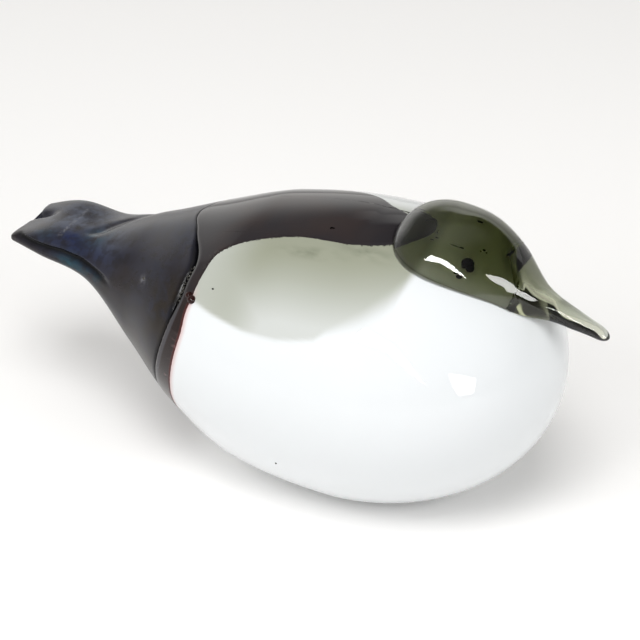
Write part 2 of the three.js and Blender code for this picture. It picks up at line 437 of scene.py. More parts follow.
def add_object(name, points, faces, values=None):
    """An object from points in millimetres, smooth shaded, with named values on its points."""
    mesh = bpy.data.meshes.new(name)
    mesh.from_pydata((np.asarray(points) * MM).tolist(), [], faces)
    mesh.validate()
    mesh.polygons.foreach_set("use_smooth", [True] * len(mesh.polygons))
    for key, numbers in (values or {}).items():
        layer = mesh.attributes.new(key, "FLOAT", "POINT")
        layer.data.foreach_set("value", np.asarray(numbers, dtype=np.float32))
    mesh.update()
    thing = bpy.data.objects.new(name, mesh)
    bpy.context.scene.collection.objects.link(thing)
    return thing


print("one millimetre is", MM, "of Blender's units")

# %% [markdown]
# The pieces are grids: rows along the bird, columns around it. One function turns such a grid into
# a closed mesh, and another into a ring with an inner and an outer skin. Both leave no open edge,
# because glass is a solid thing and light has to find its way in and out of it.

# %% Close grids into meshes
def tube_faces(rows, columns, first=0):
    """Four-sided faces of a grid that closes round on itself."""
    faces = []
    for r in range(rows - 1):
        for c in range(columns):
            d = (c + 1) % columns
            a, b = first + r * columns, first + (r + 1) * columns
            faces.append((a + c, a + d, b + d, b + c))
    return faces


def closed_tube(grid):
    """Points and faces of a grid closed at both ends with a middle point."""
    rows, columns, _ = grid.shape
    points = np.concatenate([grid.reshape(-1, 3), [grid[0].mean(axis=0)], [grid[-1].mean(axis=0)]])
    faces = tube_faces(rows, columns)
    low, high = rows * columns, rows * columns + 1
    last = (rows - 1) * columns
    for c in range(columns):
        d = (c + 1) % columns
        faces.append((low, d, c))
        faces.append((high, last + c, last + d))
    return points, faces


def double_skin(outer, inner):
    """Points and faces of a closed ring of glass between an outer and an inner grid."""
    rows, columns, _ = outer.shape
    points = np.concatenate([outer.reshape(-1, 3), inner.reshape(-1, 3)])
    faces = tube_faces(rows, columns)
    faces += [face[::-1] for face in tube_faces(rows, columns, rows * columns)]
    last_out, last_in = (rows - 1) * columns, (2 * rows - 1) * columns
    for c in range(columns):
        d = (c + 1) % columns
        faces.append((c, rows * columns + c, rows * columns + d, d))
        faces.append((last_out + c, last_out + d, last_in + d, last_in + c))
    return points, faces


print("a tube of 3 by 4 points has", len(tube_faces(3, 4)), "faces without its ends")

# %% [markdown]
# Everything that happens near an edge depends on how far away the edge is: how round the glass is,
# how deep it sinks, how its colour runs. So the two edges are laid down once as dense rows of
# points, and one function measures the distance to them, in slices to spare memory.

# %% Lay down the two edges and measure from them
FINE_STEPS = 400
SLICE = 4000


def nearest(points, curve):
    """Distance from each point to the nearest point of a curve."""
    flat = points.reshape(-1, 3)
    found = np.empty(len(flat))
    for i in range(0, len(flat), SLICE):
        gap = flat[i : i + SLICE, None, :] - curve[None, :, :]
        found[i : i + SLICE] = np.sqrt((gap**2).sum(axis=2)).min(axis=1)
    return found.reshape(points.shape[:-1])


fine_around = np.concatenate([EDGE_AROUND, np.linspace(0, 2 * np.pi, FINE_STEPS, endpoint=False)])
fine_around.sort()
dark_edge = bubble_skin(dark_reach(fine_around), fine_around)
seam_edge = bubble_skin(seam_on_skin(fine_around), fine_around)
print("points on each edge:", len(dark_edge))

# %% [markdown]
# Stains and streaks belong to the real glass, and each sits in one place, as do the painted shade, painted
# sheen and painted glint. They are worked out on the points of the mesh as soft spots and soft lines, and
# the materials read them there.
# The smallest lumps, such as bubbles and stones, are little beads: balls with their poles cut off
# flat, squashed to three half sizes.

# %% Mark places and make beads
BEAD_COLUMNS = 12
BEAD_ROWS = 8
BEAD_LAST_RISE = 1.35
LINE_THICKNESS = (1.0, 1.0, 0.3)


def patch(points, centre, reach):
    """A soft spot on a mesh: 1 at its centre and nearly 0 at twice its reach."""
    return np.exp(-(((points - np.array(centre)) / np.array(reach)) ** 2).sum(axis=-1))


def patches(points, spots):
    """Several soft spots together, each given as a strength, a centre and a reach, from 0 to 1."""
    return np.clip(sum(strength * patch(points, *spot) for strength, *spot in spots), 0, 1)


def scratch(points, start, end, reach):
    """A soft line on a mesh: 1 along it and nearly 0 at twice its reach."""
    run = np.array(end) - np.array(start)
    share = np.clip((points - np.array(start)) @ run / (run @ run), 0, 1)
    off = points - np.array(start) - share[..., None] * run
    return np.exp(-(((off * LINE_THICKNESS) ** 2).sum(axis=-1)) / reach**2)


def beads(spots):
    """Points and faces of small rounded lumps, each given as x, y, z and its three half sizes."""
    around = np.arange(BEAD_COLUMNS) * 2 * np.pi / BEAD_COLUMNS
    turn, rise = np.meshgrid(around, np.linspace(-BEAD_LAST_RISE, BEAD_LAST_RISE, BEAD_ROWS))
    ball = np.stack([np.cos(turn) * np.cos(rise), np.sin(turn) * np.cos(rise), np.sin(rise)], axis=-1)
    points = []
    faces = []
    for spot in spots:
        lump, sides = closed_tube(np.array(spot[:3]) + ball * np.array(spot[3:]))
        faces += [tuple(len(points) + k for k in side) for side in sides]
        points += lump.tolist()
    return np.array(points), faces


print("faces on one bead:", len(beads([(0, 0, 0, 1, 1, 1)])[1]))

# %% [markdown]
# ## Glass, by the values on its shader
#
# Every glass here is a soda glass with nearly the same index of refraction, 1.5, and a
# fire-polished surface. What differs is what happens to light below the surface: opal scatters all
# of it, aubergine and the tail glass swallow it, and the smoke-green head lets it through and dims
# it on the way.

# %% Set up colours and nodes
def linear(code):
    """Linear colour values of an sRGB hex code."""
    parts = [int(code[i : i + 2], 16) / 255 for i in (1, 3, 5)]
    made = [c / 12.92 if c <= 0.04045 else ((c + 0.055) / 1.055) ** 2.4 for c in parts]
    return (*made, 1.0)


def add_node(tree, kind, inputs=(), output=0, **settings):
    """Add a node with its settings, fill or wire its inputs, and hand back one of its outputs."""
    node = tree.nodes.new("ShaderNode" + kind)
    for key, value in settings.items():
        setattr(node, key, value)
    keyed = inputs if isinstance(inputs, dict) else dict(enumerate(inputs))
    for key, value in keyed.items():
        if isinstance(value, bpy.types.NodeSocket):
            tree.links.new(value, node.inputs[key])
        else:
            node.inputs[key].default_value = value
    return node.outputs[output]


def new_glass(name, **values):
    """A material with one Principled shader, and its node tree and shader."""
    material = bpy.data.materials.new(name)
    material.use_nodes = True
    tree = material.node_tree
    shader = tree.nodes["Principled BSDF"]
    for key, value in values.items():
        shader.inputs[key.replace("_", " ")].default_value = value
    return material, tree, shader


print("white paper in linear values:", [round(v, 3) for v in linear("#f6f5f4")])

# %% [markdown]
# Two finishes come back in every coloured glass. Clouds are where the melt wasn't stirred through:
# soft blotches of about one size, which is given in millimetres. They come from a noise pattern, of
# which only what rises above a start counts, in full from an end on. A stain lays a second colour
# over the first, where the mesh is marked for it and, if asked, only within the clouds.

# %% Mix clouds and stains
EASED = {"interpolation_type": "SMOOTHSTEP"}


def clouds(tree, grain, detail, start, end, most=1.0, squash=(1.0, 1.0, 1.0)):
    """Soft blotches, about a grain of millimetres wide and squashed along each axis if asked."""
    place = add_node(tree, "TexCoord", output="Object")
    place = add_node(tree, "Mapping", {"Vector": place, "Scale": squash})
    pattern = {"Vector": place, "Scale": 1 / (grain * MM), "Detail": detail}
    pattern = add_node(tree, "TexNoise", pattern, "Fac")
    return add_node(tree, "MapRange", (pattern, start, end, 0.0, most), **EASED)


def stain(tree, below, code, *factors):
    """A colour laid over another, as strongly as all factors say: marks by name, or other nodes."""
    strength = 1.0
    for factor in factors:
        if isinstance(factor, str):
            factor = add_node(tree, "Attribute", output="Fac", attribute_name=factor)
        strength = add_node(tree, "Math", (strength, factor), operation="MULTIPLY")
    return add_node(tree, "Mix", {0: strength, 6: below, 7: linear(code)}, 2, data_type="RGBA")


print("clouds of 25 mm repeat", 1 / (25 * MM), "times per metre")

# %% [markdown]
# ## The opal body
#
# Opal glass is white through and through: tiny crystals in it scatter the light. To the eye that is an
# even, milky white under a hard, wet-looking gloss. So a white base colour under a smooth dielectric coat
# is enough, and nothing has to be see-through. A grey-green oval on the top beside the saddle is painted
# shade: it stands in for the dim light that the upward-facing glass gets there, and its crisp lower edge
# stands in for the top edge of a bright reflection. Along the collar a little wine red bled into the
# white.

# %% Mix the opal white glass
opal, tree, shader = new_glass("Opal white glass", Roughness=0.04, IOR=1.5, Specular_IOR_Level=0.35)
# Painted shade: a grey-green oval over the top beside the saddle, its crisp lower edge a painted
# reflection edge.
milky = stain(tree, linear("#dadddf"), "#8f9281", "painted_top_shade")
unstirred = clouds(tree, grain=6.25, detail=4.0, start=0.35, end=0.65, squash=(0.5, 1.0, 1.0))
milky = stain(tree, milky, "#6f7362", "smudge", unstirred)
milky = stain(tree, milky, "#c9aaa9", "blush")
tree.links.new(milky, shader.inputs["Base Color"])
print("nodes in the opal glass:", len(tree.nodes))

# %% [markdown]
# The body is the front part of the bubble. Its grid starts just behind the seam, hidden under the
# collar, and its rows crowd together towards the breast, where the outline turns fastest. Under
# the dark glass the white skin sinks by a millimetre, under the head it is dented, and below it is
# ground flat to stand on.

# %% Blow the opal body
BODY_COLUMNS = 320
BODY_ROWS = 240
UNDER_COLLAR = 2.0
SINK = 1.0
SINK_REACH = 3.5

around = np.linspace(0, 2 * np.pi, BODY_COLUMNS, endpoint=False)
back_of_body = seam_on_skin(around) + UNDER_COLLAR
rows = np.sin(np.linspace(0, np.pi / 2, BODY_ROWS))[:-1]
along = back_of_body[None, :] + (BREAST_TIP - back_of_body)[None, :] * rows[:, None]
angle = np.broadcast_to(around, along.shape)
away = nearest(bubble_skin(along, angle), dark_edge)
under = along < dark_reach(angle)
sink = np.where(under, -SINK * smoothstep(0, SINK_REACH, away), 0.0)
skin = bubble_skin(along, angle, sink)
skin = bubble_skin(along, angle, sink - dent(skin))
skin[..., 2] = np.maximum(skin[..., 2], 0.0)
points, faces = closed_tube(skin)
print("points on the flat foot:", int((points[:, 2] == 0).sum()))

# %% [markdown]
# The painted shade is darkest close to the saddle and fades downwards. Its lower edge, the painted edge of
# the reflection, is crisp at the tail end and goes soft towards the head. The edge is a curve of heights
# along the body, and a soft threshold against it fills the oval.

# %% Paint the shade on the top, the smudges and the blush
OVAL_EDGE_X = [-48, -39, -30, -22, -14, -6, 2, 9.5, 13.6, 18.8, 25, 32.6, 35.7, 37.4, 42]
OVAL_EDGE_Z = [85.7, 85.0, 84.5, 84.0, 84.4, 85.1, 86.8, 88.7, 92.0, 94.5, 97.5, 102.7, 106, 110.5, 120]
OVAL_CRISP = 1.0
OVAL_SOFTER = 4.5
SOFTENS = (6, 34)
PAINTED_SHADE_REACH = (60, 4)
PAINTED_SHADE_HEIGHT = (45, 90)
THINNEST_PAINTED_SHADE = 0.40
FAR_SIDE_FADE = 0.8
FAR_SIDE = (0, 18)
TAIL_END_FADE = 0.3
TAIL_END = (-22, -46)
SMUDGES = [(1.0, (-5, -27.5, 110.6), (11, 2, 4)), (1.0, (17, -22.5, 113.5), (10, 2.4, 4))]
BLUSH_STRENGTH = 0.8
BLUSH_REACH = 2.4
BLUSH_BELOW = (92, 84)
BLUSH_NEAR = (-20, -40)
FAR_AWAY = 99.0

forward, sideways, high = points.T
away = np.append(np.where(under, 0, away).ravel(), [FAR_AWAY, FAR_AWAY])
# Painted shade: the oval on the top, strongest by the saddle, weaker on the far side and towards the tail.
softness = OVAL_CRISP + OVAL_SOFTER * smoothstep(*SOFTENS, forward)
in_oval = smoothstep(-softness, softness, high - np.interp(forward, OVAL_EDGE_X, OVAL_EDGE_Z))
near_saddle = smoothstep(*PAINTED_SHADE_REACH, away) * smoothstep(*PAINTED_SHADE_HEIGHT, high)
painted_top_shade = in_oval * np.maximum(THINNEST_PAINTED_SHADE, near_saddle)
painted_top_shade = painted_top_shade * (1 - FAR_SIDE_FADE * smoothstep(*FAR_SIDE, sideways))
painted_top_shade = painted_top_shade * (1 - TAIL_END_FADE * smoothstep(*TAIL_END, forward))
low_near = smoothstep(*BLUSH_BELOW, high) * smoothstep(*BLUSH_NEAR, sideways)
blush = BLUSH_STRENGTH * low_near * smoothstep(BLUSH_REACH, 0.0, away)
painted = {"painted_top_shade": painted_top_shade, "smudge": patches(points, SMUDGES), "blush": blush}
body = add_object("Opal_body", points, faces, painted)
body.data.materials.append(opal)
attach(body, "root")
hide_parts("body")
print("body:", len(faces), "faces")

# %% [markdown]
# ## The saddle and the collar
#
# Aubergine glass is coloured with manganese, so strongly that a few millimetres look black. It gives the
# eye a soft, brownish-purple black with a clear gloss, lighter only where it is thin. Its lower rim beside
# the opal is thin enough to show wine red, with a few pale streaks drawn out in it, and the lip towards
# the tail is painted a lighter grey, a painted sheen.

# %% Mix the aubergine glass
aubergine, tree, shader = new_glass("Aubergine glass", Roughness=0.06, IOR=1.5, Specular_IOR_Level=0.24)
dark = stain(
    tree, linear("#221f22"), "#2b2221", clouds(tree, grain=25, detail=2.0, start=0.4, end=0.7)
)
# The lip's lighter grey is a painted sheen; the low rim and the thin edge are the glass's own wine red.
for mark, code in (("low", "#1a0c0b"), ("painted_lip_sheen", "#3c3a3e"), ("thin", "#4a2422")):
    dark = stain(tree, dark, code, mark)
drawn_out = clouds(
    tree, grain=9, detail=2.0, start=0.58, end=0.72, most=0.7, squash=(1.0, 1.0, 9.0)
)
dark = stain(tree, dark, "#957476", "streaks", drawn_out)
# Painted shade: black in the furrow at the near shoulder, where the joint opens widest.
dark = stain(tree, dark, "#070606", "shaded_furrow")
tree.links.new(dark, shader.inputs["Base Color"])
print("nodes in the aubergine glass:", len(tree.nodes))

# %% [markdown]
# Saddle and collar are one layer of glass, cut out of the same skin as the body: from the seam
# forward to the dark edge. Columns of points stand at every point of the saddle's traced edge, so
# its outline stays sharp, and the rows crowd towards both rims, where the layer is rounded over.
# At the near shoulder the joint with the tail opens into a furrow, painted black as shade.

# %% Lay out the dark layer
CREASE_ON_TOP = 0.7
CREASE_DEPTH = 0.7
FURROW_WIDTH = 2.2
FURROW_RISES = (110, 124)
FURROW_FALLS = (146, 160)
CREASE_BELOW = 0.6
BELOW_ENDS = (240, 270)
AROUND_STEPS = 300
CLOSEST_COLUMNS = 0.0015
BACK_ROWS = 50
BACK_SHARE = 0.86
RIM_ROWS = 27


def crease_width(around):
    """How wide the joint is rounded: a hair on top, a black furrow at the near shoulder."""
    turn = np.degrees(around)
    past_furrow = smoothstep(*FURROW_FALLS, turn)
    shaded_furrow = smoothstep(*FURROW_RISES, turn) * (1 - past_furrow)
    below = past_furrow * (1 - smoothstep(*BELOW_ENDS, turn))
    return CREASE_ON_TOP + FURROW_WIDTH * shaded_furrow + CREASE_BELOW * below


columns = np.concatenate([EDGE_AROUND, np.linspace(0, 2 * np.pi, AROUND_STEPS, endpoint=False)])
columns.sort()
columns = columns[np.append(True, np.diff(columns) > CLOSEST_COLUMNS)]
to_rim = BACK_SHARE * crowded(BACK_ROWS)
rim_rows = BACK_SHARE + (1 - BACK_SHARE) * crowded(RIM_ROWS)
across = np.concatenate([to_rim[:-1], rim_rows])
seam_line = seam_on_skin(columns)
along = seam_line[None, :] + (dark_reach(columns) - seam_line)[None, :] * across[:, None]
angle = np.broadcast_to(columns, along.shape)
print("grid of the dark layer:", along.shape)

# %% [markdown]
# The layer stands two tenths of a millimetre proud of the opal, which is enough for the light to
# catch its rim. Its inner skin lies well inside the body and is never seen.

# %% Lay the saddle and the collar
PROUD = 0.2
RIM_DEPTH = 0.8
RIM_RADIUS = 1.4
INNER_DEPTH = 2.4
OUTER_FOOT = 0.05
INNER_FOOT = 0.1

surface = bubble_skin(along, angle)
to_front = nearest(surface, dark_edge)
to_seam = nearest(surface, seam_edge)
crease = crease_width(angle)
rim = PROUD - RIM_DEPTH + RIM_DEPTH * round_over(to_front, RIM_RADIUS)
groove = PROUD - CREASE_DEPTH * crease * (1 - round_over(to_seam, crease))
sunk = dent(surface)
outer = bubble_skin(along, angle, np.minimum(rim, groove) - sunk)
inner = bubble_skin(along, angle, -INNER_DEPTH - sunk)
outer[..., 2] = np.maximum(outer[..., 2], OUTER_FOOT)
inner[..., 2] = np.maximum(inner[..., 2], INNER_FOOT)
points, faces = double_skin(outer, inner)
print("the dark layer is", len(points), "points")

# %% [markdown]
# Just above the near shoulder, two drops of the dark glass ran together into a small red knob. It
# is glass of the same layer, so it is added to the same mesh, with its own share of the stains.

# %% Add the knob and paint the layer
KNOB = [(-48.9, -42.9, 85.6, 2.1, 1.9, 1.8), (-50.8, -41.9, 86.4, 1.6, 1.5, 1.6)]
ON_KNOB = {"low": 1.0, "painted_lip_sheen": 0.0, "thin": 0.15, "streaks": 0.0, "shaded_furrow": 0.0}
LOW_BELOW = (90, 82)
LIP_STARTS = (0.3, 0.9)
LIP_FADES = (3.2, 2.2)
THIN_FADES = (2.2, 0.3)
STREAKS_BELOW = (74, 60)
STREAKS_FADE = (5.0, 2.0)
FURROW_FADES = (0.9, 0.4)
FURROW_IF_WIDER = (1.0, 2.0)

height = outer[..., 2]
low_side = smoothstep(*LOW_BELOW, height) * (outer[..., 1] < 0)
marks = {
    "low": low_side,
    # Painted sheen: a lighter grey strip along the lip beside the seam.
    "painted_lip_sheen": low_side * smoothstep(*LIP_FADES, to_seam) * smoothstep(*LIP_STARTS, to_seam),
    "thin": low_side * smoothstep(*THIN_FADES, to_front),
    "streaks": low_side * smoothstep(*STREAKS_BELOW, height) * smoothstep(*STREAKS_FADE, to_front),
    # Painted shade: black close to the seam where the joint opens into a furrow.
    "shaded_furrow": smoothstep(*FURROW_FADES, to_seam / crease) * smoothstep(*FURROW_IF_WIDER, crease),
}
knob_points, knob_faces = beads(KNOB)
faces += [tuple(len(points) + k for k in face) for face in knob_faces]
points = np.concatenate([points, knob_points])
painted = {}
for name, values in marks.items():
    on_knob = np.full(len(knob_points), ON_KNOB[name])
    painted[name] = np.concatenate([values.ravel(), values.ravel(), on_knob])
band = add_object("Back_saddle", points, faces, painted)
band.data.materials.append(aubergine)
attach(band, "root")
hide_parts("back_band")
print("saddle and collar:", len(faces), "faces")

# %% [markdown]
# ## The lustred tail
#
# The tail is nearly black glass that was fumed: held hot in the vapour of a metal salt, which left a film
# thinner than a wavelength. It gives the eye a satin black that turns blue, teal and brown where the film
# is thicker. A grey haze on the top of the fan is partly a milky film and partly a painted sheen, and a
# pale spot beside the seam is a painted glint. Roughness is higher than on the other glasses, since the
# film scatters the gloss. The colours are stains, broken up by clouds.

# %% Mix the lustred tail glass
lustre, tree, shader = new_glass("Lustred dark glass", Roughness=0.25, IOR=1.5, Specular_IOR_Level=0.21)
purple = clouds(tree, grain=18, detail=3.0, start=0.30, end=0.50)
warm = clouds(tree, grain=18, detail=3.0, start=0.50, end=0.70)
fumed = stain(tree, linear("#1b1d2a"), "#201f28", purple)
fumed = stain(tree, fumed, "#211c1e", warm)
film = clouds(tree, grain=7, detail=4.0, start=0.30, end=0.62)
# The haze is partly a milky film and partly a painted sheen on the top of the fan.
for mark, code in (("haze_and_sheen", "#4a4f5c"), ("blue", "#1a2242"), ("teal", "#173c48"), ("brown", "#1e1711")):
    fumed = stain(tree, fumed, code, mark, film)
handled = clouds(tree, grain=4, detail=6.0, start=0.46, end=0.62, most=0.42)
fumed = stain(tree, fumed, "#17130f", handled)
glint_and_scratch_grain = clouds(tree, grain=1.4, detail=3.0, start=0.35, end=0.60)
# Pale grey: a painted glint beside the single bubble, and a real scratch across the fan.
fumed = stain(tree, fumed, "#6a6a70", "glint_and_scratch", glint_and_scratch_grain)
# Painted shade, with some dirt: black in the furrows, the crease at the seam and the slit of the notch.
fumed = stain(tree, fumed, "#060607", "shaded_furrow")
tree.links.new(fumed, shader.inputs["Base Color"])
print("nodes in the lustred glass:", len(tree.nodes))

# %% [markdown]
# The far end of the tail was squeezed flat with jacks, the glassblower's big tweezers. Two of their
# marks run as lines over the glass: a fold where the round cone turns into the flat fan, and a
# furrow that the blade left along the near edge. Each line is given by a few points in one view,
# and a bell curve across it.

# %% Draw the lines left by the jacks
FOLD_WIDTH = 3.8
FOLD_X = [-116.5, -113.0, -109.0, -103.4, -97.0]
FOLD_Y = [-8.0, -2.0, 3.0, 7.5, 17.0]
FOLD_NEAR_END = (-11, -5)
FOLD_FAR_END = (17, 22)
BLADE_X = [-150, -126, -116, -107, -98]
BLADE_Z = [75.8, 75.0, 73.6, 71.6, 70.0]
BLADE_HALF_WIDTH = 1.25
BLADE_SIDE = (-0.70, -0.90)
BLADE_STARTS = (-153, -148)
BLADE_STOPS = (-108, -97)


def fold_line(x, y):
    """Where the round cone of the tail folds down into the flat fan, 1 in the fold."""
    near_fold = np.exp(-(((x - np.interp(y, FOLD_Y, FOLD_X)) / FOLD_WIDTH) ** 2))
    return near_fold * smoothstep(*FOLD_NEAR_END, y) * (1 - smoothstep(*FOLD_FAR_END, y))


def edge_furrow(x, y, z):
    """The furrow along the near edge of the fan, left by the blade of the jacks, 1 in its middle."""
    side = smoothstep(*BLADE_SIDE, y / bubble_section(x)[0])
    ends = smoothstep(*BLADE_STARTS, x) * (1 - smoothstep(*BLADE_STOPS, x))
    return np.exp(-(((z - np.interp(x, BLADE_X, BLADE_Z)) / BLADE_HALF_WIDTH) ** 2)) * side * ends


print("the furrow of the blade is", BLADE_X[-1] - BLADE_X[0], "mm long")

# %% [markdown]
# The other marks shape the whole fan: its top is dished, a notch parts its end into two lobes, and
# the far lobe stands a little higher. Together with the two lines they are small moves of the
# points of the plain skin, so the fan stays one smooth piece of glass.

# %% Pinch the fan
FAN_FADES = (-136.0, -104.0)
FAN_DISH = 1.6
NOTCH_Y = 4.0
NOTCH_HALF_WIDTH = 2.6
NOTCH_DEPTH = 4.0
NOTCH_CREASE = 1.8
NOTCH_LENGTH = 14.0
FAR_LOBE_LIFT = 0.6
FOLD_DEPTH = 0.9
BLADE_DEPTH = 1.7


def pinch_fan(points):
    """The tail's end, pinched flat: dished on top, notched, one lobe a little higher."""
    x, y, z = points[..., 0], points[..., 1], points[..., 2]
    half_width, half_height, centre, _ = bubble_section(x)
    fan = 1 - smoothstep(*FAN_FADES, x)
    at_end = 1 - smoothstep(FAN_END, FAN_END + NOTCH_LENGTH, x)
    on_top = smoothstep(-1, 1, (z - centre) / half_height)
    across = np.clip(y / half_width, -1, 1)
    notch = np.exp(-(((y - NOTCH_Y) / NOTCH_HALF_WIDTH) ** 2)) * at_end
    dish = FAN_DISH * fan * on_top * (1 - across**2)
    lift = FAR_LOBE_LIFT * fan * smoothstep(0, 1, across)
    fold = FOLD_DEPTH * fold_line(x, y) * on_top
    moved = points.copy()
    moved[..., 0] = x + NOTCH_DEPTH * notch
    moved[..., 1] = y + BLADE_DEPTH * edge_furrow(x, y, z)
    moved[..., 2] = z + lift - dish - fold - NOTCH_CREASE * notch * on_top
    return moved


print("the fan is", 2 * REAR_SECTIONS[0, 1], "mm wide at its end")

# %% [markdown]
# The tail is one long grid, from the seam to the fan's end. At the seam it is rounded down into the joint,
# more so in the furrow, and its far end is rounded off. The furrows, the crease at the seam and the slit
# of the notch are marked to be painted black before the fan is pinched: painted shade, with some dirt.

# %% Draw out the tail
TAIL_COLUMNS = 288
TAIL_ROWS = 120
TAIL_CREASE = 1.3
END_RADIUS = 1.6
END_DEPTH = 1.5
SLIT_HALF_WIDTH = 1.3
SLIT_LENGTH = 9
CREASE_BLACK = 0.8
CREASE_CORE = 0.3

columns = np.linspace(0, 2 * np.pi, TAIL_COLUMNS, endpoint=False)
seam_line = seam_on_skin(columns)
along = seam_line[None, :] + (FAN_END - seam_line)[None, :] * np.linspace(0, 1, TAIL_ROWS)[:, None]
angle = np.broadcast_to(columns, along.shape)
to_seam = nearest(bubble_skin(along, angle), seam_edge)
crease = TAIL_CREASE * crease_width(angle)
groove = CREASE_DEPTH * crease * (1 - round_over(to_seam, crease))
fan_edge = END_DEPTH * (1 - round_over(along - FAN_END, END_RADIUS))
skin = bubble_skin(along, angle, -groove - fan_edge)
x, y, z = skin[..., 0], skin[..., 1], skin[..., 2]
at_end = 1 - smoothstep(FAN_END, FAN_END + SLIT_LENGTH, x)
# Painted shade, with some dirt: black in the slit of the notch, in the crease at the seam and in the
# blade's furrow.
slit = np.exp(-(((y - NOTCH_Y) / SLIT_HALF_WIDTH) ** 2)) * at_end
in_crease = CREASE_BLACK * smoothstep(crease, CREASE_CORE * crease, to_seam)
painted_shade_and_dirt = np.clip(edge_furrow(x, y, z) + slit + in_crease, 0, 1)
points, faces = closed_tube(pinch_fan(skin))
faces = [face[::-1] for face in faces]
print("the drawn tail is", round(float(np.ptp(points[:, 0])), 1), "mm long")

# %% [markdown]
# Each stain is a few soft spots, given as a strength, a place and how far it spreads each way. A pale spot
# beside the single bubble is a painted glint, and a fine scratch runs straight across the fan.

# %% Stain the tail
STAINS = {
    "haze_and_sheen": [(1.0, (-130, 0, 80), (16, 16, 8)), (0.7, (-106, -13, 82), (9, 9, 8))],
    "blue": [(1.0, (-124, -13, 79), (11, 7, 6)), (0.4, (-107, -19, 77), (10, 7, 6))],
    "teal": [
        (1.0, (-113, -9, 80), (6, 5, 5)),
        (1.0, (-122, -20, 70), (6, 4, 4)),
        (1.0, (-110, -22, 68), (6, 4, 3)),
        (0.4, (-136, -13, 79), (5, 4, 5)),
    ],
    "brown": [
        (1.5, (-62, -38, 78), (10, 10, 12)),
        (0.8, (-65, -43, 68), (6, 6, 9)),
        (0.8, (-103, -23, 66), (5, 4, 5)),
        (0.6, (-140, -18, 72), (7, 4, 4)),
        (1.3, (-76, -32, 52), (20, 16, 14)),
    ],
}
# A painted glint, pale grey, beside the single bubble on the tail.
PAINTED_GLINT = [(1.0, (-79.6, -31.2, 80.4), (1.6, 1.6, 1.6))]
SCRATCH = ((-129.6, -14.0, 79.0), (-130.8, 9.5, 79.8), 0.55)
SCRATCH_STRENGTH = 0.7

painted = {name: patches(points, spots) for name, spots in STAINS.items()}
glint_and_scratch_marks = patches(points, PAINTED_GLINT) + SCRATCH_STRENGTH * scratch(points, *SCRATCH)
painted["glint_and_scratch"] = np.clip(glint_and_scratch_marks, 0, 1)
painted["shaded_furrow"] = np.append(painted_shade_and_dirt.ravel(), [0.0, 0.0])
tail = add_object("Lustred_tail", points, faces, painted)
tail.data.materials.append(lustre)
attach(tail, "root")
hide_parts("tail")
print("tail:", len(faces), "faces")

# %% [markdown]
# ## The clear head
#
# Smoke-green glass is clear glass with a trace of metal oxides. It has no colour on its surface:
# the colour is in the depth, deep green in the thick crown and almost none in the thin beak. So the
# surface is colourless, perfectly smooth and fully transmitting, and the inside absorbs light: a
# little more of the red than of the green, and most of the blue. The density is per metre.

# %% Mix the smoke-green glass
DEPTH_OF_COLOUR = 82.0

smoke, tree, shader = new_glass(
    "Smoke-green glass", Base_Color=linear("#ffffff"), Roughness=0.0, IOR=1.5, Transmission_Weight=1.0
)
smoky = {"Color": linear("#939b00"), "Density": DEPTH_OF_COLOUR}
smoky = add_node(tree, "VolumeAbsorption", smoky)
tree.links.new(smoky, tree.nodes["Material Output"].inputs["Volume"])
print("nodes in the smoke-green glass:", len(tree.nodes))

# %% [markdown]
# The gather was soft when it landed, so its underside took the shape of the body, and further
# forward it lifts off as the throat. Seen through clear glass, this underside matters as much as
# the top: the throat's curve and its tilt to the far side decide what the beak shows. The head's
# skin is pushed up to whichever is higher, dented body or throat, with a rounded corner between.

# %% Find the underside of the head
THROAT_X = np.array([66.0, 70.0, 74.0, 78.0, 82.0, 86.0, 90.0, 94.0, 98.0, 102.0, BEAK_TIP])
THROAT_Z = np.array([104.4, 101.2, 98.2, 95.6, 93.6, 92.3, 91.4, 90.7, 90.0, 89.1, 86.2])
THROAT_FROM = 68
THROAT_TILT = 0.20
BEAK_TILT = 0.14
TILT_CHANGES = (77.0, 86.0)
SETTLE = 1.0
CLEARANCE = 0.15
CORNER = 0.6
NARROWEST = 0.01
FAR_BELOW = -99.0


def underside(skin):
    """The lowest height that the head may have, at points on its skin."""
    x, y = skin[..., 0], skin[..., 1]
    half_width, half_height, centre, _ = bubble_section(x)
    inside = np.clip(1 - (y / np.maximum(half_width, NARROWEST)) ** 2, 0, 1)
    on_body = centre + half_height * np.sqrt(inside)
    forward = past_joint(skin)
    freed = smoothstep(*JOINT_ENDS, forward)
    over_body = on_body + CLEARANCE * freed - (SETTLE + DENT) * (1 - freed)
    over_body = np.where(x < BREAST_TIP, over_body, FAR_BELOW)
    tilt = THROAT_TILT + (BEAK_TILT - THROAT_TILT) * smoothstep(*TILT_CHANGES, x)
    throat = smooth_curve(THROAT_X, THROAT_Z, np.maximum(x, THROAT_X[0]), False) + tilt * y
    throat = np.where(forward > THROAT_FROM, throat, FAR_BELOW)
    return soft_max(over_body, throat, CORNER)


throat_drop = float(THROAT_Z[0] - THROAT_Z[-1])
print("the throat drops", round(throat_drop, 1), "mm on its way to the tip of the beak")

# %% [markdown]
# Rows crowd towards the round ends, where the outline turns fastest. Every wobble of a few
# hundredths would show in the reflections of clear glass, which is why this small piece gets so
# many faces.

# %% Draw the head and the beak
HEAD_COLUMNS = 192
HEAD_ROWS = 220
FIRST_ROW = 0.015
BELLY_CORNER = 0.4
LOWEST_PUSHED = 60
PUSH_REACH = 4

